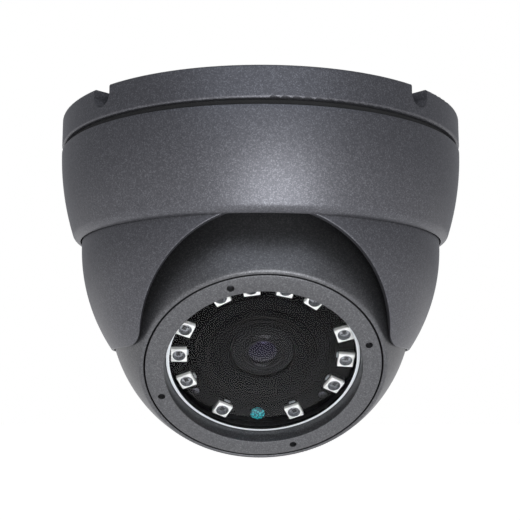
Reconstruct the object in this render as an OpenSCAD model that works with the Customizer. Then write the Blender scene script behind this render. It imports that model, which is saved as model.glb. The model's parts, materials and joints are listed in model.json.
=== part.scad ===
/* [Eyeball] */
// Diameter of the eyeball
ball_d = 70.6; // [68:0.2:86]
// Radius of the eyeball's flat front face
face_r = 26.7; // [26.7:0.1:29]
// Wall of the two eyeball castings
ball_wall = 2.2; // [1.8:0.1:2.8]
// Angle of the lens axis below the horizontal
head_tilt = 43.3; // [30:0.1:60]
// Turn of the eyeball about the lens axis
head_roll = -2.1; // [-30:0.1:30]
// Distance of the joint between the two castings behind the eyeball's centre
parting = 6.4; // [5:0.1:8]
// Distance of the flat back behind the eyeball's centre
back_d = 25; // [23:0.1:28]
// Width of the nylon glide ring
glide_w = 3; // [2:0.1:4]
// Depth of the groove that the glide ring runs in
glide_depth = 1.5; // [1:0.1:2]

/* [Front ring and window] */
// Width of the rounded lip round the front ring
face_lip = 0.7; // [0.4:0.1:1]
// Visible groove round the front ring
ring_gap = 0.3; // [0.2:0.05:0.5]
// Width of the front ring
ring_w = 4.2; // [3.5:0.1:5.1]
// Depth from the front face to the window
recess = 3.2; // [2.4:0.1:4]
// Thickness of the window at its middle
glass_t = 2.4; // [2:0.1:3]
// Thickness of the window's clamped flange
flange_t = 1; // [0.8:0.1:1.4]
// Width of the window's clamped flange
flange_w = 2; // [1.6:0.1:2.4]
// Thickness of the window's gasket
gasket_t = 0.8; // [0.5:0.1:1.2]
// Radius of the front ring's spanner holes
spanner_r = 0.8; // [0.5:0.1:1]
// Angle of the first spanner hole from the eyeball's side
spanner_angle = 20.5; // [0:0.5:89]

/* [Light board] */
// Side of one square infrared lamp
led_w = 3.5; // [3:0.1:3.6]
// Height of one infrared lamp
led_h = 1.8; // [1.2:0.1:2]
// Free space between the lamps and the edge of the board
led_edge = 1.05; // [0.6:0.05:1.4]
// Thickness of the light board
led_board_t = 1.2; // [0.8:0.1:1.6]
// Radius of the light sensor
eye_r = 1.6; // [1:0.1:1.8]
// Shank radius of the board's small screws
tiny_r = 0.6; // [0.5:0.1:0.8]

/* [Lens] */
// Radius of the lens thread
thread_r = 6; // [5:0.1:7]
// Radius of the lens head
lens_r = 6.9; // [6.9:0.1:7.6]
// Length of the lens
lens_len = 14.8; // [13:0.1:17]
// Radius of the front glass
front_glass_r = 2.8; // [2:0.1:3.4]
// Radius of the shroud's raised disc
shroud_r = 12.1; // [11:0.1:12.6]
// Height of the lens holder above its board
holder_h = 8.5; // [7:0.1:10]
// Wall of the lens holder
holder_wall = 2; // [1.4:0.1:2.6]
// Depth of the sensor board behind the front face
board_depth = 26; // [25:0.1:28]
// Side of the square sensor board
board_w = 38; // [36:0.5:40]
// Thickness of the sensor board
board_t = 1.6; // [1:0.1:2]

/* [Shell and collar] */
// How much larger the shell's outer radius is than the eyeball's
shell_over = 6.6; // [6:0.1:8]
// Height of the shell's centre above the eyeball's
shell_rise = 13.2; // [12:0.1:14]
// Wall of the shell
shell_wall = 2.2; // [1.8:0.1:2.8]
// Wall left at the shell's lower rim
rim_wall = 0.45; // [0.3:0.05:1]
// Radius of the rounding where the arch meets the rim
arch_round = 3; // [1:0.1:4]
// How far the base ring stands out beyond the shell
flare = 5.1; // [4.6:0.1:7]
// Radius of the collar's gently curved side
side_curve = 62; // [50:1:120]
// Rounding of the collar's lower lip
lip_round = 2.5; // [1.5:0.1:3]
// Height of the shell's centre below the collar's lip
lip_over = 0.85; // [0:0.05:2]
// Width of the flange on top of the shell
shell_flange = 1.6; // [1:0.1:2]
// Thickness of the flange on top of the shell
shell_flange_t = 2; // [1.5:0.1:3]
// Thickness of each nylon glide washer
washer_t = 0.6; // [0.4:0.1:1]

/* [Base] */
// Height of the base ring
base_h = 6.87; // [6:0.01:9]
// Open seam between the base ring and the collar
seam = 1.1; // [0.6:0.1:2]
// Thickness of the base's floor
web_t = 3.4; // [2.4:0.1:4.4]
// Wall of the base's threaded neck
neck_wall = 3.3; // [2.4:0.1:4]
// Turn of the base about its axis
base_turn = -2.3; // [-45:0.1:45]
// Width of the side notches
notch_w = 5.3; // [4:0.1:7]
// Depth of the side notches
notch_h = 4.5; // [3:0.1:5]
// Length of the side notches
notch_l = 5; // [3:0.1:5.6]
// Diameter of the circle of ceiling screw holes
screw_circle_d = 62; // [56:0.5:64]
// Number of ceiling screw holes
screw_count = 3; // [3:1:4]
// Radius of a ceiling screw hole
screw_hole_r = 2.3; // [1.8:0.1:2.8]
// Radius of the cable's way through the ceiling grommet
cable_r = 3.5; // [2.5:0.1:4.5]
// Wall of the ceiling grommet
grommet_wall = 4.5; // [3:0.1:6]
// Radius of the lock screw
lock_r = 1.5; // [1:0.1:2]

/* [Clearances] */
// Gap between the eyeball and its seats
seat_gap = 0.25; // [0.15:0.01:0.4]
// Gap between pieces that are fitted by hand
fit_gap = 0.3; // [0.2:0.01:0.5]
// Radial gap of a running fit
run_gap = 0.05; // [0.02:0.01:0.1]
// Free height above the eyeball
top_gap = 0.63; // [0.4:0.01:3]

/* [Hidden] */

$fn = 120;
cut = 1;          // overrun of a cutting tool past the face it opens
far = 100;        // longer than any piece

paint = "#5b5d66";
paint_low = "#67676b";
nylon = "#2b2b2e";
rubber = "#18181a";
steel = "#b9bcc0";
mask_black = "#121214";
gold = "#c8a448";

// Eyeball, measured along the lens axis from its centre
ball_r = ball_d / 2;
ball_in = ball_r - ball_wall;
face_d = sqrt(ball_r * ball_r - face_r * face_r);
ring_seat_r = face_r - face_lip;
ring_r = ring_seat_r - ring_gap;
window_r = ring_r - ring_w;
glass_top = face_d - recess;
glass_low = glass_top - glass_t;
flange_top = glass_low + flange_t;
gasket_low = glass_low - gasket_t;
led_gap = 0.4;
led_top = glass_low - led_gap;
board_top = led_top - led_h;
board_low = board_top - led_board_t;
ledge_t = 2;
ledge_low = board_low - ledge_t;
ledge_r = window_r - 4.2;
led_board_r = window_r - fit_gap;
led_circle = led_board_r - led_edge - led_w / 2;
LED_ANGLES = [11.5, 33, 69, 92, 116, 153.5];
tiny_circle = led_circle + 0.4;
tiny_angle = 130;
tiny_head_r = 1;
tiny_head_h = 0.6;
tiny_grip = 1.5;  // how far a small screw goes into the ledge
cup_r = led_w * 0.41;
cup_deep = 0.7;
eye_body_h = 1;
eye_dome_r = 2.2;
ring_round = 0.3;
spanner_deep = 1.6;
glass_gap = 0.2;
glass_step_r = window_r - glass_gap;
flange_r = glass_step_r + flange_w;
bevel = 0.55;

// Groove of the glide ring, and the spigot that carries it
groove_r = sqrt(ball_r * ball_r - (parting + glide_w / 2) * (parting + glide_w / 2)) - glide_depth;
spigot_wall = 2.2;
spigot_in = groove_r - spigot_wall;
spigot_len = 2.6;
spigot_root = 3;
seal_r = 0.7;
seal_z = -parting + 1.2;
seal_groove_w = 1.6;
seal_groove_deep = 1.3;

// Screws that hold the two castings together
post_r = 2.8;
post_swell = 0.4;  // how much thicker the rear casting's posts are
post_circle = spigot_in - post_r - fit_gap;
post_screw_r = 1.25;
post_head_r = 2.2;
post_head_h = 2;
post_head_z = -parting - 7;
post_end = 9;
back_t = 2.2;

// Shroud round the lens
shroud_bore = lens_r + fit_gap;
shroud_neck = shroud_r - 1.5;
shroud_tail = 1;
skirt_w = 2.6;
skirt_t = 0.5;
skirt_rise = 0.2;
shroud_edge = 0.3;
shroud_rim_w = 1.1;
shroud_dip = 0.9;

// Lens and sensor board
sensor_z = face_d - board_depth;
lens_peak = glass_low - 0.7;
lens_low = lens_peak - lens_len;
dome_h = 0.9;
rim_r = 4.1;
head_len = 6.4;
head_edge = 0.8;
rim_edge = 0.5;
rim_slope = 0.4;
front_glass_t = 2.4;
stop_step = 0.6;
back_glass_r = thread_r - 1.6;
back_glass_t = 2.4;
back_glass_in = 0.6;
head_top = lens_peak - dome_h / 2;
holder_top = sensor_z + holder_h;
lock_ring_h = 2.2;
filter_w = 8;
filter_t = 0.6;
filter_edge = 0.6;
filter_gap = 0.8;
chip_w = 9;
chip_t = 1.4;
chip_face = [5.6, 4.2];
chip_face_deep = 0.3;
thread_floor = 3.4;
processor_w = 12;
processor_t = 1.3;
processor_y = 3.5;
pillar_in = 2.5;
pillar_place = board_w / 2 - pillar_in;
pillar_r = 2.5;
pillar_screw_r = 1.25;
stud_len = 1.5;
pillar_hole = 4;
pillar_grip = 3.6;
pillar_head_r = 2.1;
pillar_head_h = 1.5;
ear_place = 10;
ear_r = 2.4;
ear_t = 1.6;
holder_screw_r = 0.9;
holder_head_r = 1.7;
holder_head_h = 1.2;
lock_notch_r = 0.5;
lock_notches = 12;
socket = [6, 3.2, 3];
socket_gap = 0.8;
socket_place = ledge_r - socket[1] / 2 - socket_gap;
wire_r = 0.4;
wire_pitch = 1.2;
gland_r = 5;
gland_way = 3;
gland_out = 3.5;
gland_nose = 2;
gland_brim = 1.5;
gland_lip = 1.2;
gland_lip_t = 1.4;

// Heights below the ceiling
lip_deep = 8.2;
ball_z = -(base_h + top_gap + ball_r);
shell_r = ball_r + shell_over;
shell_in = shell_r - shell_wall;
shell_z = ball_z + shell_rise;
seat_r = ball_r + seat_gap;
rim_depth = (pow(shell_r - rim_wall, 2) - pow(seat_r, 2) - pow(shell_rise, 2)) / (2 * shell_rise);
rim_z = ball_z - rim_depth;
arch_r = face_r - 0.2;
base_r = shell_r + flare;
collar_top = -(base_h + seam);
lip_z = shell_z + lip_over;
lip_in = shell_r + fit_gap + run_gap;
neck_r = shell_r + shell_flange + fit_gap;
neck_in = neck_r - neck_wall;
lip_join = lip_z + lip_deep;
flange_low = lip_join + washer_t + 2 * run_gap;
flange_high = flange_low + shell_flange_t;
neck_low = flange_high + washer_t + 2 * run_gap;

// Clamp ring on top of the eyeball
clamp_t = 3;
clamp_rise = 4;
clamp_floor = 1;
clamp_grip = 3.4;
washer_metal = 0.4;
clamp_low = shell_z + clamp_rise;
clamp_high = clamp_low + clamp_t;
clamp_boss_r = 2.4;
clamp_circle = shell_in - clamp_boss_r + 0.2;
clamp_boss_h = 5.4;
clamp_screw_r = 1;
clamp_head_r = 1.9;
clamp_head_h = 1.4;
washer_h = 0.9;
CLAMP_ANGLES = [90, 210, 330];

// Pan stop: a lug on the base and one on the shell, which meet after 175 degrees either way
stop_w = 2.4;
stop_t = 1.6;
stop_in = shell_in - fit_gap - stop_t;

// Small pieces of the base
edge = 0.6;
gasket_in = screw_circle_d / 2 + screw_hole_r + 2.4;
gasket_w = 3;
gasket_deep = 1;
grommet_flange = 2;
grommet_low = 1.8;
grommet_sunk = 0.4;
seal_w = 2;
lock_z = collar_top - 4.5;
lock_deep = 2;
lock_len = 4;
grub_gap = 0.2;

// Places its children in the eyeball's frame: +Z along the lens axis, +Y up the face
module in_ball() {
    translate([0, 0, ball_z]) rotate([90 + head_tilt, 0, 0]) rotate([0, 0, head_roll]) children();
}

// A tube from z = low to z = high
module tube(r_out, r_in, low, high) {
    difference() {
        translate([0, 0, low]) cylinder(r = r_out, h = high - low);
        translate([0, 0, low - cut]) cylinder(r = r_in, h = high - low + 2 * cut);
    }
}

// A cylinder from z = low to z = high, standing at a place
module rod(r, low, high, at = [0, 0]) {
    translate([at[0], at[1], low]) cylinder(r = r, h = high - low);
}

// A rectangle in a half section with two rounded outer corners
module soft_section(x0, x1, y0, y1, r) {
    translate([x0, y0]) square([x1 - x0 - r, y1 - y0]);
    translate([x0, y0 + r]) square([x1 - x0, y1 - y0 - 2 * r]);
    translate([x1 - r, y0 + r]) circle(r = r);
    translate([x1 - r, y1 - r]) circle(r = r);
}

// A pan-head screw whose head's seat is at z = 0, with its shank towards -Z
module screw(shank_r, head_r, head_h, len) {
    difference() {
        union() {
            rod(head_r, 0, head_h);
            rod(shank_r, -len, 0);
        }
        translate([0, 0, head_h / 2]) cylinder(r = head_r * 0.5, h = head_h, $fn = 6);
    }
}

// ---------------------------------------------------------------- base
module notch() {
    rotate([0, 0, -90]) translate([base_r - notch_l, 0, 0]) rotate([90, 0, 90])
        linear_extrude(height = notch_l + cut) {
            translate([-notch_w / 2, -notch_h + notch_w / 2]) square([notch_w, notch_h]);
            translate([0, -notch_h + notch_w / 2]) circle(r = notch_w / 2);
        }
}

module base_ring() {
    color(paint) rotate([0, 0, base_turn]) difference() {
        union() {
            rotate_extrude() soft_section(neck_in, base_r, -base_h, 0, edge);
            tube(neck_r, neck_in, neck_low, -base_h + edge);
            rod(neck_in + cut, -web_t, 0);
            rotate([0, 0, 90 - base_turn]) translate([stop_in, -stop_w / 2, 0]) {
                translate([0, 0, flange_low + fit_gap])
                    cube([stop_t, stop_w, -web_t - flange_low - fit_gap]);
                translate([0, 0, neck_low]) cube([neck_in + cut - stop_in, stop_w, -web_t - neck_low]);
            }
        }
        rod(cable_r + grommet_wall, -far, far);
        for (i = [0:screw_count - 1]) rotate([0, 0, 360 / screw_count * i + 30])
            rod(screw_hole_r, -far, far, [screw_circle_d / 2, 0]);
        for (a = [-45, 45]) rotate([0, 0, a]) notch();
        tube(gasket_in + gasket_w, gasket_in, -gasket_deep, cut);
        rotate([0, 0, 90 - base_turn]) translate([neck_r - lock_deep, 0, lock_z]) rotate([0, 90, 0])
            cylinder(r = lock_r, h = lock_deep + cut);
    }
}

module ceiling_gasket() {
    color(rubber) tube(gasket_in + gasket_w, gasket_in, -gasket_deep, 0);
}

module cable_grommet() {
    color(rubber) difference() {
        union() {
            rod(cable_r + grommet_wall, -web_t - grommet_low, -grommet_sunk);
            rod(cable_r + grommet_wall + grommet_flange, -web_t - grommet_low, -web_t);
        }
        rod(cable_r, -far, far);
    }
}

module seam_seal() {
    color(rubber) tube(neck_r + seal_w, neck_r, collar_top, -base_h);
}

module upper_glide() {
    color(nylon) tube(neck_r - fit_gap, neck_in + fit_gap, flange_high + run_gap, neck_low - run_gap);
}

module lower_glide() {
    color(nylon) tube(neck_r - fit_gap, lip_in + fit_gap / 2, lip_join + run_gap, flange_low - run_gap);
}

// Half section of the collar's outside: a large arc that ends in a small rounded lip
module collar_section() {
    cx = base_r - side_curve;
    cz = collar_top;
    sz = lip_z - 0.05 + lip_round;
    sx = cx + sqrt(pow(side_curve - lip_round, 2) - pow(sz - cz, 2));
    tx = (sx - cx) / (side_curve - lip_round);
    tz = (sz - cz) / (side_curve - lip_round);
    difference() {
        intersection() {
            translate([cx, cz]) circle(r = side_curve, $fn = 360);
            translate([lip_in, sz - lip_round]) square([base_r - lip_in, cz - sz + lip_round]);
        }
        polygon([
            [sx, sz], [sx, sz - lip_round - cut], [sx + lip_round * 3, sz - lip_round - cut],
            [cx + (side_curve + 3) * tx, cz + (side_curve + 3) * tz]
        ]);
    }
    intersection() {
        translate([sx, sz]) circle(r = lip_round);
        translate([lip_in, sz - lip_round]) square([lip_round * 3, lip_round * 2]);
    }
}

module collar() {
    color(paint) difference() {
        rotate_extrude() collar_section();
        rod(neck_r, lip_join, far);
        rotate([0, 0, 90]) translate([neck_r - cut, 0, lock_z]) rotate([0, 90, 0])
            cylinder(r = lock_r, h = far);
    }
}

module lock_screw() {
    key_r = lock_r * 0.55;
    key_deep = 1.6;
    start = neck_r - lock_deep + grub_gap;
    color(steel) rotate([0, 0, 90]) translate([start, 0, lock_z]) rotate([0, 90, 0]) difference() {
        cylinder(r = lock_r, h = lock_len);
        translate([0, 0, lock_len - key_deep]) cylinder(r = key_r, h = lock_len, $fn = 6);
    }
}

// ---------------------------------------------------------------- turret
// Outline of the arch, seen along the Y axis: a half circle whose feet flare into the rim
module arch_outline() {
    lap = 0.02; // the two arcs cross by this much, where they would only touch
    foot_x = sqrt(pow(arch_r + arch_round - lap, 2) - pow(arch_round, 2));
    translate([0, rim_z]) circle(r = arch_r);
    for (s = [-1, 1]) difference() {
        polygon([
            [0, rim_z], [0, rim_z - arch_round], [s * foot_x, rim_z - arch_round],
            [s * foot_x, rim_z + arch_round]
        ]);
        translate([s * foot_x, rim_z + arch_round]) circle(r = arch_round);
    }
}

// Half section of the shell: part of a sphere below, a straight wall with a flange above
module shell_section() {
    difference() {
        union() {
            intersection() {
                translate([0, shell_z]) circle(r = shell_r);
                translate([0, rim_z]) square([shell_r, shell_z - rim_z]);
            }
            translate([0, shell_z]) square([shell_r, flange_high - shell_z]);
            translate([0, flange_low]) square([shell_r + shell_flange, flange_high - flange_low]);
        }
        translate([0, shell_z]) circle(r = shell_in);
        translate([-cut, shell_z]) square([shell_in + cut, far]);
        translate([0, ball_z]) circle(r = seat_r);
        translate([-far, -far]) square([far, 2 * far]);
    }
}

module dome_shell() {
    color(paint_low) difference() {
        union() {
            difference() {
                rotate_extrude() shell_section();
                rotate([90, 0, 0]) linear_extrude(height = far) arch_outline();
            }
            intersection() {
                for (a = CLAMP_ANGLES) rotate([0, 0, a])
                    rod(clamp_boss_r, clamp_low - clamp_boss_h, clamp_low, [clamp_circle, 0]);
                rod(shell_in + shell_wall / 2, rim_z, far);
            }
            rotate([0, 0, -90]) translate([shell_in - stop_t, -stop_w / 2, flange_low])
                cube([stop_t + cut, stop_w, shell_flange_t]);
        }
        for (a = CLAMP_ANGLES) rotate([0, 0, a])
            rod(clamp_screw_r, clamp_low - clamp_boss_h + clamp_floor, far, [clamp_circle, 0]);
    }
}

module clamp_ring() {
    color(nylon) difference() {
        rod(shell_in - fit_gap, clamp_low, clamp_high);
        translate([0, 0, ball_z]) sphere(r = seat_r);
        for (a = CLAMP_ANGLES) rotate([0, 0, a])
            rod(clamp_screw_r + run_gap, -far, far, [clamp_circle, 0]);
    }
}

// Conical spring washers under the clamp screws' heads
module spring_washers() {
    color(steel) for (a = CLAMP_ANGLES) rotate([0, 0, a]) translate([clamp_circle, 0, clamp_high])
        rotate_extrude() polygon([
            [clamp_screw_r + run_gap, washer_h - washer_metal], [clamp_screw_r + run_gap, washer_h],
            [clamp_head_r, washer_metal], [clamp_head_r, 0]
        ]);
}

module clamp_screws() {
    color(steel) for (a = CLAMP_ANGLES) rotate([0, 0, a])
        translate([clamp_circle, 0, clamp_high + washer_h])
            screw(clamp_screw_r, clamp_head_r, clamp_head_h, clamp_t + washer_h + clamp_grip);
}

// ---------------------------------------------------------------- eyeball
// Nylon ring in the joint between the castings: the shell's seat slides on it as the eyeball tilts,
// and the eyeball turns inside it
module glide_ring() {
    color(nylon) in_ball() difference() {
        intersection() {
            sphere(r = ball_r);
            rod(ball_r, -parting - glide_w + run_gap, -parting - run_gap);
        }
        rod(groove_r + run_gap, -far, far);
    }
}

module front_housing() {
    color(paint_low) in_ball() difference() {
        union() {
            difference() {
                intersection() {
                    sphere(r = ball_r);
                    rod(ball_r, -parting, face_d);
                }
                difference() {
                    sphere(r = ball_in);
                    rod(ball_r, ledge_low, far);
                    for (i = [0:3]) rotate([0, 0, 90 * i])
                        rod(post_r, -parting + spigot_len, far, [post_circle, 0]);
                }
                rod(groove_r + run_gap * 2, -far, -parting + spigot_len + fit_gap);
                rod(ring_seat_r, gasket_low, far);
                rod(window_r, board_low, far);
                rod(ledge_r, -far, far);
            }
            intersection() {
                sphere(r = ball_r - ball_wall / 2);
                for (i = [0:3]) rotate([0, 0, 90 * i])
                    rod(post_r, -parting + spigot_len, ledge_low, [post_circle, 0]);
            }
        }
        for (i = [0:3]) rotate([0, 0, 90 * i]) rod(post_screw_r, -far, post_end + 1, [post_circle, 0]);
        for (x = [-1, 1], y = [-1, 1])
            translate([x * pillar_place, y * pillar_place, 0])
                rod(pillar_screw_r, ledge_low - cut, ledge_low + stud_len);
        for (s = [-1, 1]) rotate([0, 0, 90 + s * tiny_angle])
            rod(tiny_r, ledge_low - cut, board_low + cut, [tiny_circle, 0]);
    }
}

module rear_housing() {
    color(paint_low) in_ball() difference() {
        union() {
            difference() {
                intersection() {
                    sphere(r = ball_r);
                    rod(ball_r, -back_d, -parting - glide_w);
                }
                intersection() {
                    sphere(r = ball_in);
                    rod(ball_r, -back_d + back_t, far);
                }
            }
            tube(groove_r, spigot_in, -parting - glide_w - spigot_root, -parting + spigot_len);
            intersection() {
                sphere(r = ball_r - ball_wall / 2);
                for (i = [0:3]) rotate([0, 0, 90 * i])
                    rod(post_r + post_swell, -back_d + 1, -parting + spigot_len, [post_circle, 0]);
            }
        }
        rod(gland_r, -far, -back_d + back_t + cut);
        tube(ball_r, groove_r - seal_groove_deep, seal_z - seal_groove_w / 2, seal_z + seal_groove_w / 2);
        for (i = [0:3]) rotate([0, 0, 90 * i]) {
            rod(post_screw_r + run_gap, -far, far, [post_circle, 0]);
            rod(post_head_r + fit_gap, -far, post_head_z, [post_circle, 0]);
        }
    }
}

module housing_seal() {
    color(rubber) in_ball() translate([0, 0, seal_z]) rotate_extrude()
        translate([groove_r + run_gap * 2 - seal_r, 0]) circle(r = seal_r, $fn = 48);
}

module housing_screws() {
    color(steel) in_ball() for (i = [0:3]) rotate([0, 0, 90 * i]) translate([post_circle, 0, post_head_z])
        rotate([180, 0, 0]) screw(post_screw_r, post_head_r, post_head_h, post_end - post_head_z);
}

// Rubber gland in the eyeball's flat back, where the camera's lead comes out
module cable_gland() {
    color(rubber) in_ball() difference() {
        union() {
            rod(gland_r, -back_d - gland_out, -back_d + back_t);
            rod(gland_r + gland_brim, -back_d - gland_out + gland_nose, -back_d);
            rod(gland_r + gland_lip, -back_d + back_t, -back_d + back_t + gland_lip_t);
        }
        rod(gland_way, -far, far);
    }
}

module front_ring() {
    color(paint_low) in_ball() difference() {
        union() {
            rotate_extrude() intersection() {
                soft_section(0, ring_r, flange_top, face_d, ring_round);
                square([ring_r, far]);
            }
            rod(ring_r, glass_low, flange_top + edge);
        }
        rod(window_r, -far, far);
        rod(flange_r + run_gap * 2, -far, flange_top);
        for (i = [0:3]) rotate([0, 0, spanner_angle + 90 * i])
            rod(spanner_r, face_d - spanner_deep, far, [(window_r + ring_r) / 2 - 0.1, 0]);
    }
}

module window_gasket() {
    color(rubber) in_ball() tube(flange_r, window_r, gasket_low, glass_low);
}

module window_glass() {
    color("#aab4bc", 0.35) in_ball() rotate_extrude() polygon([
        [0, glass_low], [flange_r, glass_low], [flange_r, flange_top], [glass_step_r, flange_top],
        [glass_step_r, glass_top - bevel], [glass_step_r - bevel, glass_top], [0, glass_top]
    ]);
}

// ---------------------------------------------------------------- light board
module at_led(angle) {
    rotate([0, 0, 90 + angle]) translate([led_circle, 0, board_top]) children();
}

module led_board() {
    color(mask_black) in_ball() difference() {
        tube(led_board_r, shroud_neck, board_low, board_top);
        for (s = [-1, 1]) rotate([0, 0, 90 + s * tiny_angle])
            rod(tiny_r + run_gap, -far, far, [tiny_circle, 0]);
    }
}

module ir_leds() {
    color("#e6e6e2") in_ball() for (a = LED_ANGLES, s = [-1, 1]) at_led(s * a) difference() {
        translate([-led_w / 2, -led_w / 2, 0]) cube([led_w, led_w, led_h]);
        translate([0, 0, led_h - cup_deep]) cylinder(r1 = cup_r * 0.7, r2 = cup_r, h = cup_deep + 0.001);
    }
}

module light_sensor() {
    color("#2b9ea0") in_ball() at_led(180) {
        rod(eye_r, 0, eye_body_h);
        translate([0, 0, eye_body_h]) intersection() {
            translate([0, 0, -sqrt(eye_dome_r * eye_dome_r - eye_r * eye_r)]) sphere(r = eye_dome_r);
            rod(eye_r, 0, eye_dome_r);
        }
    }
}

module board_screws() {
    color(mask_black) in_ball() for (s = [-1, 1]) rotate([0, 0, 90 + s * tiny_angle])
        translate([tiny_circle, 0, board_top])
            screw(tiny_r, tiny_head_r, tiny_head_h, led_board_t + tiny_grip);
}

// Black moulded shroud that keeps the lamps' light out of the lens
module lens_shroud() {
    color(mask_black) in_ball() rotate_extrude() polygon([
        [shroud_bore, board_low - shroud_tail], [shroud_neck - run_gap, board_low - shroud_tail],
        [shroud_neck - run_gap, board_top], [shroud_r + skirt_w, board_top],
        [shroud_r + skirt_w, board_top + skirt_t], [shroud_r, board_top + skirt_t + skirt_rise],
        [shroud_r, led_top - shroud_edge], [shroud_r - shroud_edge, led_top],
        [shroud_r - shroud_rim_w, led_top],
        [shroud_bore + 0.4, led_top - shroud_dip], [shroud_bore, led_top - shroud_dip]
    ]);
}

// ---------------------------------------------------------------- lens and sensor
module lens_barrel() {
    color(mask_black) in_ball() difference() {
        rotate_extrude() polygon([
            [0, lens_low], [thread_r, lens_low], [thread_r, head_top - head_len],
            [lens_r, head_top - head_len], [lens_r, head_top - head_edge],
            [rim_r + rim_slope, head_top - rim_edge],
            [rim_r, head_top], [0, head_top]
        ]);
        rod(front_glass_r, head_top - front_glass_t, far);
        rod(front_glass_r - stop_step, -far, far);
        rod(back_glass_r, -far, lens_low + back_glass_in + back_glass_t);
    }
}

module front_element() {
    dome_r = (pow(front_glass_r, 2) + pow(dome_h, 2)) / (2 * dome_h);
    color("#3a3350") in_ball() {
        rod(front_glass_r, head_top - front_glass_t, lens_peak - dome_h);
        translate([0, 0, lens_peak - dome_h]) intersection() {
            translate([0, 0, dome_h - dome_r]) sphere(r = dome_r);
            rod(front_glass_r, -0.01, dome_h + cut);
        }
    }
}

module rear_element() {
    low = lens_low + back_glass_in;
    color("#5a6478") in_ball() rod(back_glass_r, low, low + back_glass_t);
}

module lens_lock_ring() {
    color(mask_black) in_ball() difference() {
        rod(thread_r + holder_wall, holder_top, holder_top + lock_ring_h);
        rod(thread_r, -far, far);
        for (i = [0:lock_notches - 1]) rotate([0, 0, 360 / lock_notches * i])
            rod(lock_notch_r, -far, far, [thread_r + holder_wall, 0]);
    }
}

module lens_holder() {
    color("#1d1d20") in_ball() difference() {
        union() {
            rod(thread_r + holder_wall, sensor_z, holder_top);
            for (s = [-1, 1]) {
                rod(ear_r, sensor_z, sensor_z + ear_t, [s * ear_place, 0]);
                translate([s * ear_place / 2 - ear_place / 2, -ear_r, sensor_z])
                    cube([ear_place, 2 * ear_r, ear_t]);
            }
        }
        rod(thread_r, sensor_z + thread_floor, far);
        translate([-chip_w / 2 - fit_gap, -chip_w / 2 - fit_gap, sensor_z - cut])
            cube([chip_w + 2 * fit_gap, chip_w + 2 * fit_gap, cut + chip_t + filter_gap]);
        translate([-filter_w / 2, -filter_w / 2, sensor_z])
            cube([filter_w, filter_w, chip_t + filter_gap + filter_t]);
        rod(filter_w / 2 - filter_edge, sensor_z, far);
        for (s = [-1, 1]) rod(holder_screw_r, -far, far, [s * ear_place, 0]);
    }
}

module holder_screws() {
    color(steel) in_ball() for (s = [-1, 1]) translate([s * ear_place, 0, sensor_z - board_t])
        rotate([180, 0, 0]) screw(holder_screw_r, holder_head_r, holder_head_h, board_t + ear_t);
}

module ir_filter() {
    color("#8fb7b0", 0.6) in_ball()
        translate([-filter_w / 2, -filter_w / 2, sensor_z + chip_t + filter_gap])
            cube([filter_w, filter_w, filter_t]);
}

module image_sensor() {
    color("#2c3038") in_ball() difference() {
        translate([-chip_w / 2, -chip_w / 2, sensor_z]) cube([chip_w, chip_w, chip_t]);
        translate([-chip_face[0] / 2, -chip_face[1] / 2, sensor_z + chip_t - chip_face_deep])
            cube([chip_face[0], chip_face[1], cut]);
    }
}

module sensor_board() {
    color("#1f5a36") in_ball() difference() {
        translate([-board_w / 2, -board_w / 2, sensor_z - board_t]) cube([board_w, board_w, board_t]);
        for (x = [-1, 1], y = [-1, 1])
            rod(pillar_screw_r + run_gap, -far, far, [x * pillar_place, y * pillar_place]);
        for (s = [-1, 1]) rod(holder_screw_r + run_gap, -far, far, [s * ear_place, 0]);
    }
}

module processor() {
    color("#16171a") in_ball()
        translate([-processor_w / 2, processor_y - processor_w / 2, sensor_z - board_t - processor_t])
            cube([processor_w, processor_w, processor_t]);
}

module pillars() {
    color(gold) in_ball() for (x = [-1, 1], y = [-1, 1])
        translate([x * pillar_place, y * pillar_place, 0]) difference() {
            union() {
                translate([0, 0, sensor_z]) cylinder(r = pillar_r, h = ledge_low - sensor_z, $fn = 6);
                rod(pillar_screw_r, ledge_low - cut, ledge_low + stud_len);
            }
            rod(pillar_screw_r, sensor_z - cut, sensor_z + pillar_hole);
        }
}

module pillar_screws() {
    color(steel) in_ball() for (x = [-1, 1], y = [-1, 1])
        translate([x * pillar_place, y * pillar_place, sensor_z - board_t])
            rotate([180, 0, 0]) screw(pillar_screw_r, pillar_head_r, pillar_head_h, board_t + pillar_grip);
}

module board_sockets() {
    color("#e8e2d2") in_ball() for (low = [sensor_z, board_low - socket[2]])
        translate([-socket[0] / 2, -socket_place - socket[1] / 2, low]) cube(socket);
}

module led_lead() {
    color("#b0281e") in_ball() for (i = [-1.5:1:1.5])
        rod(wire_r, sensor_z + socket[2], board_low - socket[2], [i * wire_pitch, -socket_place]);
}

base_ring();
ceiling_gasket();
cable_grommet();
seam_seal();
upper_glide();
lower_glide();
collar();
lock_screw();
dome_shell();
clamp_ring();
spring_washers();
clamp_screws();
glide_ring();
front_housing();
rear_housing();
housing_seal();
housing_screws();
cable_gland();
front_ring();
window_gasket();
window_glass();
led_board();
ir_leds();
light_sensor();
board_screws();
lens_shroud();
lens_barrel();
front_element();
rear_element();
lens_lock_ring();
lens_holder();
holder_screws();
ir_filter();
image_sensor();
sensor_board();
processor();
pillars();
pillar_screws();
board_sockets();
led_lead();
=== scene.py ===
import json
import math

import bpy
from mathutils import Matrix, Vector


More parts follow.
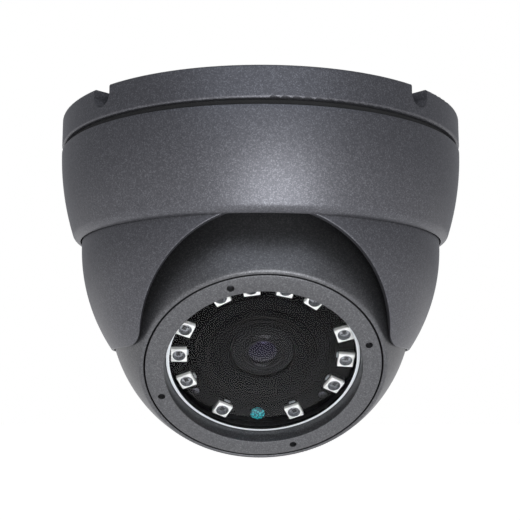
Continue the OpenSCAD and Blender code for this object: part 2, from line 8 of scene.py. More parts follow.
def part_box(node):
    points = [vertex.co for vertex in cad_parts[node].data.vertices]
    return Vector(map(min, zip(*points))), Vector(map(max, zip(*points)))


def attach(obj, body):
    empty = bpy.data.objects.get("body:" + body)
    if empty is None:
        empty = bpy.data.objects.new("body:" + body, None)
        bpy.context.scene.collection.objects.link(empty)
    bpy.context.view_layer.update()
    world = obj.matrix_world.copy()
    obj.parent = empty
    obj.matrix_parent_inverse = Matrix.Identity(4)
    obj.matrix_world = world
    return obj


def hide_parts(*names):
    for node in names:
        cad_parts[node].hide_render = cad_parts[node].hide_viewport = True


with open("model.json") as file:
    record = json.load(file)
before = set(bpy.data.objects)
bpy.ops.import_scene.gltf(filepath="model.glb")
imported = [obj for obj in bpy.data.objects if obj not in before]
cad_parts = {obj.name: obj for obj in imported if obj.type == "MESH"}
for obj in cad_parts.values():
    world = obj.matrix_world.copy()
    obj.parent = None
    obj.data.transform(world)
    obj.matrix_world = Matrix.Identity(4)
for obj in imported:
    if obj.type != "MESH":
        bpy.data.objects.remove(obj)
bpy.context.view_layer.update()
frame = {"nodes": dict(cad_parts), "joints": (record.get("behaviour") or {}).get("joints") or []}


# ---- Camera --------------------------------------------------------------------------------
# A short telephoto, a little to the left of the lens axis and below the base, pitched
# up at the collar.
MM = 0.001
CAMERA_PLACE = Vector((-9.35, -229.3, -65.3)) * MM
CAMERA_PITCH = math.radians(8.31)
CAMERA_HEADING = math.radians(-2.3)
FOCAL_LENGTH = 67.5
FILM_WIDTH = 36
NEAR_CLIP = 5 * MM

camera_data = bpy.data.cameras.new("camera")
camera_data.lens = FOCAL_LENGTH
camera_data.sensor_width = FILM_WIDTH
camera_data.clip_start = NEAR_CLIP
camera = bpy.data.objects.new("camera", camera_data)
bpy.context.scene.collection.objects.link(camera)
camera.location = CAMERA_PLACE
camera.rotation_euler = (math.pi / 2 + CAMERA_PITCH, 0, CAMERA_HEADING)
bpy.context.scene.camera = camera


# ---- Light table and lights ----------------------------------------------------------------
# The camera hangs over a white acrylic light table in an even, slightly cool room. A soft
# light low in front gives the collar its broad highlight, and a larger one high in front
# lifts the base.
def srgb(code):
    """A hex colour as linear red, green, blue and alpha."""
    parts = [int(code[i:i + 2], 16) / 255 for i in (1, 3, 5)]
    return (*[p / 12.92 if p <= 0.04045 else ((p + 0.055) / 1.055) ** 2.4 for p in parts], 1)


def add(tree, kind, settings=None, links=None):
    """Adds a node. Settings are its unlinked inputs, its properties or its ramp's stops.

    An input goes by its name, or by its number where the node repeats a name."""
    made = tree.nodes.new(kind)
    for name, value in (settings or {}).items():
        if name == "ramp":
            for stop, (position, colour) in zip(made.color_ramp.elements, value):
                stop.position = position
                stop.color = srgb(colour)
        elif isinstance(name, int) or name in made.inputs:
            made.inputs[name].default_value = value
        else:
            setattr(made, name, value)
    for name, socket in (links or {}).items():
        tree.links.new(socket, made.inputs[name])
    return made


def blank(name):
    """A new material without nodes, and its node tree."""
    made = bpy.data.materials.new(name)
    made.use_nodes = True
    made.node_tree.nodes.clear()
    return made, made.node_tree


TABLE_DROP = 0.35
TABLE_SIZE = 24
MOTTLE = 0.04

# Opal acrylic, cast: an even glow, with a mottle 40 mm across that hardly shows.
opal_acrylic, tree = blank("opal_acrylic_light_table")
place = add(tree, "ShaderNodeTexCoord")
mottle = add(tree, "ShaderNodeTexNoise", {"Scale": 1 / MOTTLE}, {"Vector": place.outputs["Object"]})
tone = add(tree, "ShaderNodeValToRGB", {"ramp": [(0.3, "#f8f8f8"), (0.7, "#fbfbfb")]},
           {"Fac": mottle.outputs["Fac"]})
shader = add(tree, "ShaderNodeBsdfPrincipled",
             {"Roughness": 0.8, "Emission Color": srgb("#fffdfa"), "Emission Strength": 0.62},
             {"Base Color": tone.outputs["Color"]})
add(tree, "ShaderNodeOutputMaterial", None, {"Surface": shader.outputs["BSDF"]})

bpy.ops.object.select_all(action="DESELECT")
bpy.ops.mesh.primitive_plane_add(size=TABLE_SIZE, location=(0, 0, -TABLE_DROP))
table = bpy.context.object
table.name = "light_table"
bpy.ops.object.transform_apply(location=True, rotation=True, scale=True)
table.data.materials.append(opal_acrylic)

# The room lights the object dimly, and is pure white where it is only the backdrop.
world = bpy.data.worlds.new("white_room")
bpy.context.scene.world = world
bpy.context.scene.view_settings.view_transform = "Standard"
world.use_nodes = True
tree = world.node_tree
tree.nodes.clear()
ray = add(tree, "ShaderNodeLightPath")
room = add(tree, "ShaderNodeBackground", {"Color": srgb("#f7f9ff"), "Strength": 0.46})
backdrop = add(tree, "ShaderNodeBackground", {"Color": srgb("#ffffff"), "Strength": 1.0})
seen = add(tree, "ShaderNodeMixShader", None,
           {0: ray.outputs["Is Camera Ray"], 1: room.outputs["Background"],
            2: backdrop.outputs["Background"]})
add(tree, "ShaderNodeOutputWorld", None, {"Surface": seen.outputs["Shader"]})

KEY_AIM = Vector((0, 0, -0.03))
SKY_AIM = Vector((0, 0, -0.01))
key_data = bpy.data.lights.new("low_soft_light", "AREA")
key_data.shape = "DISK"
key_data.size = 0.22
key_data.energy = 0.85
key_data.color = (0.96, 0.98, 1)
key = bpy.data.objects.new("low_soft_light", key_data)
bpy.context.scene.collection.objects.link(key)
key.location = (0.035, -0.33, -0.15)
key.rotation_euler = (KEY_AIM - key.location).to_track_quat("-Z", "Y").to_euler()

sky_data = bpy.data.lights.new("high_soft_light", "AREA")
sky_data.size = 1.4
sky_data.energy = 6
sky_data.color = (0.82, 0.89, 1)
sky = bpy.data.objects.new("high_soft_light", sky_data)
bpy.context.scene.collection.objects.link(sky)
sky.location = (0, -0.8, 0.7)
sky.rotation_euler = (SKY_AIM - sky.location).to_track_quat("-Z", "Y").to_euler()


# ---- Base ----------------------------------------------------------------------------------
# The die-cast base that screws to the ceiling, with its two side notches. Its shape is
# the CAD model's. It is sprayed and stoved like the collar and the shell.
FLAKE = 0.18 * MM
CLOUD = 0.45 * MM
PEEL = 0.5 * MM


def flake_paint(name, dark, light, flake_and_painted_glint, rough):
    """Charcoal stoving paint full of fine aluminium flake, on die-cast aluminium.

    The flakes, drawn 0.18 mm apart so that they show, make a satin metal grey. Some flake
    cells are lighter: partly the flakes' own tone, partly a painted glint that stands in for
    their sparkle. The sprayed film has a faint orange peel."""
    made, tree = blank(name)
    place = add(tree, "ShaderNodeTexCoord").outputs["Object"]
    cloud = add(tree, "ShaderNodeTexNoise", {"Scale": 1 / CLOUD, "Detail": 3}, {"Vector": place})
    tone = add(tree, "ShaderNodeValToRGB", {"ramp": [(0.3, dark), (0.7, light)]},
               {"Fac": cloud.outputs["Fac"]})
    flake = add(tree, "ShaderNodeTexVoronoi", {"Scale": 1 / FLAKE}, {"Vector": place})
    lot = add(tree, "ShaderNodeSeparateColor", None, {"Color": flake.outputs["Color"]})
    # Lighter flake cells: partly the flakes' own tone, partly a painted glint for their sparkle.
    flake_glint_share = add(tree, "ShaderNodeMapRange", {"From Min": 0.6, "To Max": 0.6}, {"Value": lot.outputs["Red"]})
    colour = add(tree, "ShaderNodeMix", {"data_type": "RGBA", 7: srgb(flake_and_painted_glint)},
                 {0: flake_glint_share.outputs["Result"], 6: tone.outputs["Color"]})
    peel = add(tree, "ShaderNodeTexNoise", {"Scale": 1 / PEEL, "Detail": 2}, {"Vector": place})
    bump = add(tree, "ShaderNodeBump", {"Strength": 0.25, "Distance": 0.03 * MM},
               {"Height": peel.outputs["Fac"]})
    shader = add(tree, "ShaderNodeBsdfPrincipled", {"Metallic": 0.9, "Roughness": rough},
                 {"Base Color": colour.outputs[2], "Normal": bump.outputs["Normal"]})
    add(tree, "ShaderNodeOutputMaterial", None, {"Surface": shader.outputs["BSDF"]})
    return made


def coat(material, *names):
    """Gives CAD nodes one material."""
    for name in names:
        mesh = frame["nodes"][name].data
        mesh.materials.clear()
        mesh.materials.append(material)


body_paint = flake_paint("charcoal_flake_paint_on_casting", "#4a4a4e", "#545458", "#747479", 0.44)
coat(body_paint, "base_ring")


# ---- Gaskets, seals and grommets -----------------------------------------------------------
# Black EPDM rubber, moulded: the ceiling gasket, the ring in the dark seam, the grommet
# of the ceiling plate, the eyeball's seal, the window's gasket and the lead's gland.
RUBBER_GRAIN = 0.35 * MM
BLOOM = 4 * MM

# Dull and nearly black, with the matt grain of a sand-blasted mould and a faint grey bloom.
rubber, tree = blank("moulded_epdm_rubber")
place = add(tree, "ShaderNodeTexCoord").outputs["Object"]
bloom = add(tree, "ShaderNodeTexNoise", {"Scale": 1 / BLOOM, "Detail": 4}, {"Vector": place})
tone = add(tree, "ShaderNodeValToRGB", {"ramp": [(0.35, "#0a0a0b"), (0.75, "#131315")]},
           {"Fac": bloom.outputs["Fac"]})
grain = add(tree, "ShaderNodeTexNoise", {"Scale": 1 / RUBBER_GRAIN, "Detail": 2}, {"Vector": place})
bump = add(tree, "ShaderNodeBump", {"Strength": 0.4, "Distance": 0.03 * MM}, {"Height": grain.outputs["Fac"]})
shader = add(tree, "ShaderNodeBsdfPrincipled", {"Roughness": 0.8, "IOR": 1.5},
             {"Base Color": tone.outputs["Color"], "Normal": bump.outputs["Normal"]})
add(tree, "ShaderNodeOutputMaterial", None, {"Surface": shader.outputs["BSDF"]})
coat(rubber, "ceiling_gasket", "cable_grommet", "seam_seal", "housing_seal", "window_gasket", "cable_gland")


# ---- Glides and clamp ring -----------------------------------------------------------------
# Grey-black nylon, moulded and waxy: the two washers of the shell's flange, the ring that
# presses the eyeball on its seat, and the ring that the eyeball rolls in.
FLOW = 6 * MM

# A soft sheen, with the faint streaks that the melt leaves as it flows round a ring.
nylon, tree = blank("moulded_nylon")
place = add(tree, "ShaderNodeTexCoord").outputs["Object"]
flow = add(tree, "ShaderNodeTexNoise", {"Scale": 1 / FLOW, "Detail": 5, "Distortion": 1.5}, {"Vector": place})
tone = add(tree, "ShaderNodeValToRGB", {"ramp": [(0.3, "#242427"), (0.7, "#303033")]},
           {"Fac": flow.outputs["Fac"]})
bump = add(tree, "ShaderNodeBump", {"Strength": 0.15, "Distance": 0.05 * MM}, {"Height": flow.outputs["Fac"]})
shader = add(tree, "ShaderNodeBsdfPrincipled", {"Roughness": 0.42, "IOR": 1.53},
             {"Base Color": tone.outputs["Color"], "Normal": bump.outputs["Normal"]})
add(tree, "ShaderNodeOutputMaterial", None, {"Surface": shader.outputs["BSDF"]})
coat(nylon, "upper_glide", "lower_glide", "clamp_ring", "glide_ring")


# ---- Screws and spring washers -------------------------------------------------------------
# Cold-headed steel screws with rolled threads, and pressed spring washers, zinc plated.
# They hold the collar, the clamp ring, the eyeball's castings, the lens holder and the boards.
PLATE_GRAIN = 0.25 * MM

# Bluish bright plate: a clean metal gloss, broken by a fine crystalline grain.
zinc_plate, tree = blank("zinc_plated_steel")
place = add(tree, "ShaderNodeTexCoord").outputs["Object"]
crystal = add(tree, "ShaderNodeTexVoronoi", {"Scale": 1 / PLATE_GRAIN}, {"Vector": place})
tone = add(tree, "ShaderNodeValToRGB", {"ramp": [(0.0, "#9da2a8"), (0.8, "#c3c8cd")]},
           {"Fac": crystal.outputs["Distance"]})
bump = add(tree, "ShaderNodeBump", {"Strength": 0.2, "Distance": 0.01 * MM},
           {"Height": crystal.outputs["Distance"]})
shader = add(tree, "ShaderNodeBsdfPrincipled", {"Metallic": 1.0, "Roughness": 0.28},
             {"Base Color": tone.outputs["Color"], "Normal": bump.outputs["Normal"]})
add(tree, "ShaderNodeOutputMaterial", None, {"Surface": shader.outputs["BSDF"]})
coat(zinc_plate, "lock_screw", "spring_washers", "clamp_screws", "housing_screws", "holder_screws",
     "pillar_screws")


# ---- Collar --------------------------------------------------------------------------------
# The wide die-cast ring that screws up the base's neck and traps the shell's flange. Its
# side is one large arc that ends in a small lip, and a grub screw locks it behind.
WELD = 0.002 * MM  # Points nearer than this are one point.


def arc(x, z, radius, start, end, steps):
    """Points of an arc in a half section, from start to end in degrees above the outward direction."""
    turns = [math.radians(start + (end - start) * i / steps) for i in range(steps + 1)]
    return [(x + radius * math.cos(t), z + radius * math.sin(t)) for t in turns]


def only(*objects):
    """Leaves just these objects selected, with the first one active."""
    bpy.ops.object.select_all(action="DESELECT")
    for obj in objects:
        obj.select_set(True)
    bpy.context.view_layer.objects.active = objects[0]


def turned(name, outline, steps):
    """Spins a closed half section of (radius, height) points, in millimetres, round the Z axis."""
    points = [Vector((x, 0, z)) * MM for x, z in outline]
    bpy.ops.object.select_all(action="DESELECT")
    bpy.ops.mesh.primitive_plane_add(size=MM)
    made = bpy.context.object
    made.name = made.data.name = name
    bpy.ops.object.mode_set(mode="EDIT")
    bpy.ops.mesh.select_all(action="SELECT")
    bpy.ops.mesh.merge(type="CENTER")
    bpy.ops.transform.translate(value=points[0])
    for here, there in zip(points, points[1:] + points[:1]):
        bpy.ops.mesh.extrude_region_move(TRANSFORM_OT_translate={"value": there - here})
    bpy.ops.mesh.select_all(action="SELECT")
    bpy.ops.mesh.spin(steps=steps, angle=2 * math.pi, center=(0, 0, 0), axis=(0, 0, 1))
    bpy.ops.mesh.select_all(action="SELECT")
    bpy.ops.mesh.remove_doubles(threshold=WELD)
    bpy.ops.mesh.select_all(action="SELECT")
    bpy.ops.mesh.normals_make_consistent(inside=False)
    bpy.ops.object.mode_set(mode="OBJECT")
    return made


def rod(radius, low, high, x=0, y=0, vertices=32):
    """A round bar that stands at x, y, in millimetres. It cuts a hole or makes a post."""
    bpy.ops.object.select_all(action="DESELECT")
    bpy.ops.mesh.primitive_cylinder_add(vertices=vertices, radius=radius * MM, depth=(high - low) * MM,
                                        location=Vector((x, y, (low + high) / 2)) * MM)
    return bpy.context.object


def carve(obj, operation, tools):
    """Cuts the tools out of a piece, or joins them to it."""
    only(*tools)
    if len(tools) > 1:
        bpy.ops.object.join()
    tool = bpy.context.object
    only(obj)
    step = obj.modifiers.new("carve", "BOOLEAN")
    step.operation = operation
    step.solver = "EXACT"
    step.object = tool
    bpy.ops.object.modifier_apply(modifier="carve")
    bpy.data.objects.remove(tool)


def settle(obj, body, nodes, material, place=Matrix.Identity(4), crease=30):
    """Shades a finished piece, moves it to its place within its mesh, and joins it to the frame."""
    only(obj)
    bpy.ops.object.shade_smooth_by_angle(angle=math.radians(crease))
    obj.matrix_world = place @ obj.matrix_world
    bpy.ops.object.transform_apply(location=True, rotation=True, scale=True)
    if material:
        obj.data.materials.clear()
        obj.data.materials.append(material)
    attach(obj, body)
    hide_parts(*nodes)


SIDE_CURVE = 62
LIP_ROUND = 2.5
BROKEN_EDGE = 0.3
EASE = 0.3  # How far into a broken edge its middle point stands.
PAST = 1  # How far a cutter reaches past the face that it cuts.
NECK_GAP = 0.3
SHELL_GAP = 0.35
FLANGE_REACH = 1.6
CLOSE_FIT = 0.05
collar_low, collar_high = (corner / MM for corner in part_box("collar"))
glide_low, glide_high = (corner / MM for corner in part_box("lower_glide"))
collar_r = collar_high.x
neck_r = glide_high.x + NECK_GAP
shell_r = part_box("dome_shell")[1].x / MM - FLANGE_REACH
lip_in = shell_r + SHELL_GAP
lip_join = glide_low.z - CLOSE_FIT
lip_z = collar_low.z + LIP_ROUND
side_x = collar_r - SIDE_CURVE
lip_x = side_x + math.sqrt((SIDE_CURVE - LIP_ROUND) ** 2 - (lip_z - collar_high.z) ** 2)
lip_start = math.degrees(math.atan2(lip_z - collar_high.z, lip_x - side_x))
lip_end = -90 - math.degrees(math.asin((lip_x - lip_in) / LIP_ROUND))
edge_turn = math.degrees(BROKEN_EDGE / SIDE_CURVE)
collar = turned("collar_casting", [
    (neck_r, collar_high.z), (collar_r - BROKEN_EDGE, collar_high.z),
    (collar_r - BROKEN_EDGE * EASE, collar_high.z - BROKEN_EDGE * EASE),
    *arc(side_x, collar_high.z, SIDE_CURVE, -edge_turn, lip_start, 26),
    *arc(lip_x, lip_z, LIP_ROUND, lip_start, lip_end, 12)[1:],
    (lip_in, lip_join), (neck_r, lip_join)], steps=256)
grub_low, grub_high = (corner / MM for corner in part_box("lock_screw"))
way = rod((grub_high.x - grub_low.x) / 2, neck_r - PAST, collar_r + PAST)
way.matrix_world = (Matrix.Translation((0, 0, (grub_low.z + grub_high.z) / 2 * MM))
                    @ Matrix.Rotation(-math.pi / 2, 4, "X") @ way.matrix_world)
carve(collar, "DIFFERENCE", [way])
settle(collar, "base", ["collar"], body_paint)


# ---- Dome shell ----------------------------------------------------------------------------
# The die-cast shell that carries the eyeball: part of a sphere, open in front in an arch
# whose edge is rounded by the paint. Three bosses inside take the clamp's screws.
hinges = {joint["name"]: joint for joint in frame["joints"]}
ball_centre = Vector(hinges["tilt"]["pos_m"])
SHELL_WALL = 2.2
SHELL_RISE = 13.2  # The shell's own centre stands this far above the ball's.
SEAT_GAP = 0.25
FLANGE_T = 2
ARCH_R = 26.5
ARCH_ROUND = 3
ARCH_EDGE = 0.22
BOSS_CIRCLE = 37.5
BOSS_R = 2.4
BOSS_H = 5.4
BOSS_HOLE = 1
BOSS_HOLE_DEEP = 4.4
BOSS_TURNS = (90, 210, 330)
COLUMNS = 360
ROWS = 44
shell_low, shell_high = (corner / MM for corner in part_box("dome_shell"))
ball_r = max((v.co - ball_centre).length for v in frame["nodes"]["rear_housing"].data.vertices) / MM
ball_z = ball_centre.z / MM
shell_z = ball_z + SHELL_RISE
seat_r = ball_r + SEAT_GAP
shell_in = shell_r - SHELL_WALL
rim_z = shell_low.z
foot_x = math.sqrt((ARCH_R + ARCH_ROUND) ** 2 - ARCH_ROUND ** 2)
meet_x = ARCH_R * foot_x / (ARCH_R + ARCH_ROUND)


def circle_at(radius, centre, z):
    """Radius of a sphere round the axis at a height, and its full radius above its centre."""
    return math.sqrt(max(radius ** 2 - min(z - centre, 0) ** 2, 0))


def outside(z):
    """Radius of the shell's outer wall at a height."""
    return circle_at(shell_r, shell_z, z)


def inside(z):
    """Radius of the shell's inner wall at a height, which lower down is the ball's seat."""
    seat = math.sqrt(max(seat_r ** 2 - (z - ball_z) ** 2, 0))
    return max(circle_at(shell_in, shell_z, z), seat if z < shell_z - SHELL_RISE / 2 else 0)


def arch_height(x):
    """Height of the arch at a distance from its middle: an arc whose feet flare into the rim."""
    if x < meet_x:
        return rim_z + math.sqrt(ARCH_R ** 2 - x ** 2)
    if x < foot_x:
        return rim_z + ARCH_ROUND - math.sqrt(ARCH_ROUND ** 2 - (foot_x - x) ** 2)
    return rim_z


def edge_height(wall, turn):
    """Height, found by halving, at which a wall ends at the arch or the rim, at an angle from the front."""
    if abs(turn) > math.pi / 2:
        return rim_z
    low, high = rim_z, rim_z + ARCH_R + 1
    for _ in range(40):
        middle = (low + high) / 2
        if middle < arch_height(abs(wall(middle) * math.sin(turn))):
            low = middle
        else:
            high = middle
    return high


def rounded(corner, one, other):
    """A corner of the section, eased between two points on its sides."""
    return [one * (1 - t) ** 2 + corner * 2 * t * (1 - t) + other * t ** 2 for t in (0, 0.25, 0.5, 0.75, 1)]


def shell_section(turn):
    """The shell's closed section at an angle from the front."""
    out_z, in_z = edge_height(outside, turn), edge_height(inside, turn)
    out_edge, in_edge = Vector((outside(out_z), out_z)), Vector((inside(in_z), in_z))
    across = (in_edge - out_edge).normalized() * ARCH_EDGE
    out_up = Vector((outside(out_z + ARCH_EDGE), out_z + ARCH_EDGE))
    in_up = Vector((inside(in_z + ARCH_EDGE), in_z + ARCH_EDGE))
    flange_z = shell_high.z - FLANGE_T
    out_heights = [out_up.y + (flange_z - out_up.y) * i / ROWS for i in range(1, ROWS + 1)]
    in_heights = [shell_high.z + (in_up.y - shell_high.z) * i / ROWS for i in range(ROWS)]
    return [*rounded(out_edge, out_edge + across, out_up), *[Vector((outside(z), z)) for z in out_heights],
            Vector((shell_high.x, flange_z)), Vector((shell_high.x, shell_high.z)),
            *[Vector((inside(z), z)) for z in in_heights], *rounded(in_edge, in_up, in_edge - across)]


sections = [shell_section(2 * math.pi * i / COLUMNS - math.pi) for i in range(COLUMNS)]
points = len(sections[0])
bpy.ops.object.select_all(action="DESELECT")
bpy.ops.mesh.primitive_grid_add(x_subdivisions=COLUMNS, y_subdivisions=points, size=2)
shell = bpy.context.object
shell.name = shell.data.name = "dome_shell_casting"
for vertex in shell.data.vertices:
    column = round((vertex.co.x + 1) / 2 * COLUMNS) % COLUMNS
    point = sections[column][round((vertex.co.y + 1) / 2 * points) % points]
    turn = 2 * math.pi * column / COLUMNS - math.pi
    vertex.co = Vector((point.x * math.sin(turn), -point.x * math.cos(turn), point.y)) * MM
bpy.ops.object.mode_set(mode="EDIT")
bpy.ops.mesh.select_all(action="SELECT")
bpy.ops.mesh.remove_doubles(threshold=WELD)
bpy.ops.mesh.select_all(action="SELECT")
bpy.ops.mesh.normals_make_consistent(inside=False)
bpy.ops.object.mode_set(mode="OBJECT")
clamp_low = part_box("clamp_ring")[0].z / MM
turns = [math.radians(turn) for turn in BOSS_TURNS]
bosses = [(BOSS_CIRCLE * math.cos(turn), BOSS_CIRCLE * math.sin(turn)) for turn in turns]
carve(shell, "UNION", [rod(BOSS_R, clamp_low - BOSS_H, clamp_low, *boss) for boss in bosses])
carve(shell, "DIFFERENCE", [rod(BOSS_HOLE, clamp_low - BOSS_HOLE_DEEP, clamp_low + PAST, *boss)
                            for boss in bosses])
settle(shell, "turret", ["dome_shell"], body_paint)


# ---- Eyeball castings ----------------------------------------------------------------------
# Two die-cast halves of a ball, held by four long screws. The front one ends in a narrow
# soft lip round the front ring, and has the posts inside; the rear one is the CAD model's.
HEAD_ROLL = math.radians(-2.1)
LIP_SOFT = 0.45
POST_R = 2.8
POST_HOLE = 1.25
POST_CIRCLE = 27.6
POST_LOW = -3.8
POST_DEEP = 10
POST_HOLD = 0.5
PILLAR_PLACE = 16.5
PILLAR_DEEP = 1.5
TINY_HOLE = 0.6
TINY_ANGLE = math.radians(130)
TINY_CIRCLE = 18.8
BALL_WALL = 2.2
LEDGE_T = 2
SPIGOT = 2.9
RING_GAP = 0.3
SEAT_EDGE = 0.1
lens_axis = Vector(hinges["roll"]["axis"]).normalized()
side = Vector((1, 0, 0))
ball_frame = (Matrix.Translation(ball_centre)
              @ Matrix((side, lens_axis.cross(side), lens_axis)).transposed().to_4x4()
              @ Matrix.Rotation(HEAD_ROLL, 4, "Z"))


def span(node):
    """A CAD node's outer and inner radius about the lens axis, and its lowest and highest level."""
    local = [ball_frame.inverted() @ v.co / MM for v in frame["nodes"][node].data.vertices]
    radii = [math.hypot(p.x, p.y) for p in local]
    return max(radii), min(radii), min(p.z for p in local), max(p.z for p in local)


_, ledge_r, front_low, face_d = span("front_housing")
ring_r, window_r, glass_low, _ = span("front_ring")
gasket_low = span("window_gasket")[2]
board_low, board_top = span("led_board")[2:]
ring_seat = ring_r + RING_GAP
ledge_low = board_low - LEDGE_T
groove_r = span("glide_ring")[1] + CLOSE_FIT
ball_in = ball_r - BALL_WALL
spigot_end = front_low + SPIGOT
lip_r = math.sqrt(ball_r ** 2 - face_d ** 2)
easing = [Vector((lip_r - LIP_SOFT * 0.9, face_d)), Vector((lip_r, face_d)),
          Vector((math.sqrt(ball_r ** 2 - (face_d - LIP_SOFT) ** 2), face_d - LIP_SOFT))]
front = turned("front_casting", [
    *arc(0, 0, ball_r, math.degrees(math.asin(front_low / ball_r)),
         math.degrees(math.asin((face_d - LIP_SOFT) / ball_r)), 60)[:-1],
    *rounded(easing[1], easing[2], easing[0]),
    (ring_seat + SEAT_EDGE, face_d), (ring_seat, face_d - SEAT_EDGE), (ring_seat, gasket_low),
    (window_r, gasket_low), (window_r, board_low), (ledge_r, board_low), (ledge_r, ledge_low),
    *arc(0, 0, ball_in, math.degrees(math.asin(ledge_low / ball_in)),
         math.degrees(math.asin(spigot_end / ball_in)), 24),
    (groove_r, spigot_end), (groove_r, front_low)], steps=256)
quarter = [math.pi / 2 * i for i in range(4)]
posts = [(POST_CIRCLE * math.cos(turn), POST_CIRCLE * math.sin(turn)) for turn in quarter]
pillars = [(x * PILLAR_PLACE, y * PILLAR_PLACE) for x in (-1, 1) for y in (-1, 1)]
screw_holes = [(-s * TINY_CIRCLE * math.sin(TINY_ANGLE), TINY_CIRCLE * math.cos(TINY_ANGLE))
               for s in (-1, 1)]
carve(front, "UNION", [rod(POST_R, POST_LOW, ledge_low + POST_HOLD, *post) for post in posts])
carve(front, "DIFFERENCE", [
    *[rod(POST_HOLE, POST_LOW - PAST, POST_DEEP, *post) for post in posts],
    *[rod(POST_HOLE, ledge_low - PAST, ledge_low + PILLAR_DEEP, *pillar) for pillar in pillars],
    *[rod(TINY_HOLE, ledge_low - PAST, board_low + PAST, *hole) for hole in screw_holes]])
# A lit copy of the body's paint, a shade lighter: painted light, standing in for the brighter light that the
# eyeball and its front ring catch from below.
ball_paint_lit_copy = flake_paint("charcoal_flake_paint_on_eyeball_lit_copy", "#4c4c4e", "#58585a", "#767678", 0.42)
settle(front, "eyeball", ["front_housing"], ball_paint_lit_copy, ball_frame)
coat(ball_paint_lit_copy, "rear_housing")


# ---- Front ring ----------------------------------------------------------------------------
# The painted ring that screws in round the window and clamps it. Its edges are broken,
# and four blind holes take the pins of a spanner.
RING_EDGE = 0.28
SPANNER_R = 0.8
SPANNER_DEEP = 1.6
SPANNER_TURN = math.radians(20.5)
SPANNER_INSET = 0.1
FLANGE_GAP = 0.1
GLASS_FLANGE = 1
flange_r, _, _, glass_top = span("window_glass")
flange_top = glass_low + GLASS_FLANGE
hole_circle = (window_r + ring_r) / 2 - SPANNER_INSET
ring = turned("front_ring_casting", [
    (ring_r, glass_low), (ring_r, face_d - RING_EDGE),
    (ring_r - RING_EDGE * EASE, face_d - RING_EDGE * EASE), (ring_r - RING_EDGE, face_d),
    (window_r + RING_EDGE, face_d), (window_r + RING_EDGE * EASE, face_d - RING_EDGE * EASE),
    (window_r, face_d - RING_EDGE), (window_r, flange_top),
    (flange_r + FLANGE_GAP, flange_top), (flange_r + FLANGE_GAP, glass_low)], steps=256)
spots = [(hole_circle * math.cos(SPANNER_TURN + turn), hole_circle * math.sin(SPANNER_TURN + turn))
         for turn in quarter]
carve(ring, "DIFFERENCE", [rod(SPANNER_R, face_d - SPANNER_DEEP, face_d + PAST, *spot) for spot in spots])
settle(ring, "eyeball", ["front_ring"], ball_paint_lit_copy, ball_frame)


# ---- Window --------------------------------------------------------------------------------
# A stepped pane of soda-lime glass, polished and coated, with a bevel round its front that
# shows as a pale line: a painted reflection of the bright floor below. Its clamped flange
# lies on a rubber gasket.
BEVEL_W = 0.7
BEVEL_DROP = 0.2
STEP_GAP = 0.2
GLASS_EDGE = 0.1
BREATH = 12 * MM
BEVEL_GRAIN = 0.15 * MM

# Clear, and almost without reflection: the dark specular tint stands for a coating that
# kills the gloss of plain glass.
window_glass, tree = blank("coated_float_glass")
place = add(tree, "ShaderNodeTexCoord").outputs["Object"]
breath = add(tree, "ShaderNodeTexNoise", {"Scale": 1 / BREATH, "Detail": 3}, {"Vector": place})
haze = add(tree, "ShaderNodeMapRange", {"To Max": 0.003}, {"Value": breath.outputs["Fac"]})
shader = add(tree, "ShaderNodeBsdfPrincipled",
             {"Base Color": srgb("#ffffff"), "Transmission Weight": 1.0, "IOR": 1.4,
              "Specular Tint": srgb("#060608")},
             {"Roughness": haze.outputs["Result"]})
add(tree, "ShaderNodeOutputMaterial", None, {"Surface": shader.outputs["BSDF"]})

# The bevel: pale, soft and even, with a fine grain. Its pale colour is a painted reflection of the bright
# floor below.
pale_bevel_glass, tree = blank("pale_glass_bevel")
place = add(tree, "ShaderNodeTexCoord").outputs["Object"]
bevel_grain = add(tree, "ShaderNodeTexNoise", {"Scale": 1 / BEVEL_GRAIN, "Detail": 2}, {"Vector": place})
tone = add(tree, "ShaderNodeValToRGB", {"ramp": [(0.3, "#c4c8cb"), (0.7, "#dfe2e4")]},
           {"Fac": bevel_grain.outputs["Fac"]})
shader = add(tree, "ShaderNodeBsdfPrincipled", {"Roughness": 0.45, "IOR": 1.5},
             {"Base Color": tone.outputs["Color"]})
add(tree, "ShaderNodeOutputMaterial", None, {"Surface": shader.outputs["BSDF"]})

step_r = window_r - STEP_GAP
pane = turned("window_pane", [
    (0, glass_low), (flange_r - GLASS_EDGE, glass_low), (flange_r, glass_low + GLASS_EDGE),
    (flange_r, flange_top), (step_r, flange_top),
    (step_r, glass_top - BEVEL_DROP), (step_r - BEVEL_W, glass_top), (0, glass_top)], steps=192)
pane.data.materials.append(window_glass)
pane.data.materials.append(pale_bevel_glass)
# The bevel's faces take the pale colour, a painted reflection.
for face in pane.data.polygons:
    middle = face.center / MM
    if math.hypot(middle.x, middle.y) > step_r - BEVEL_W and middle.z > glass_top - BEVEL_DROP:
        face.material_index = 1
settle(pane, "eyeball", ["window_glass"], None, ball_frame, crease=20)


# ---- Light board ---------------------------------------------------------------------------
# A ring of glass-epoxy circuit board with a matt black solder mask, screwed to the
# casting's ledge.
MASK_GRAIN = 0.6 * MM

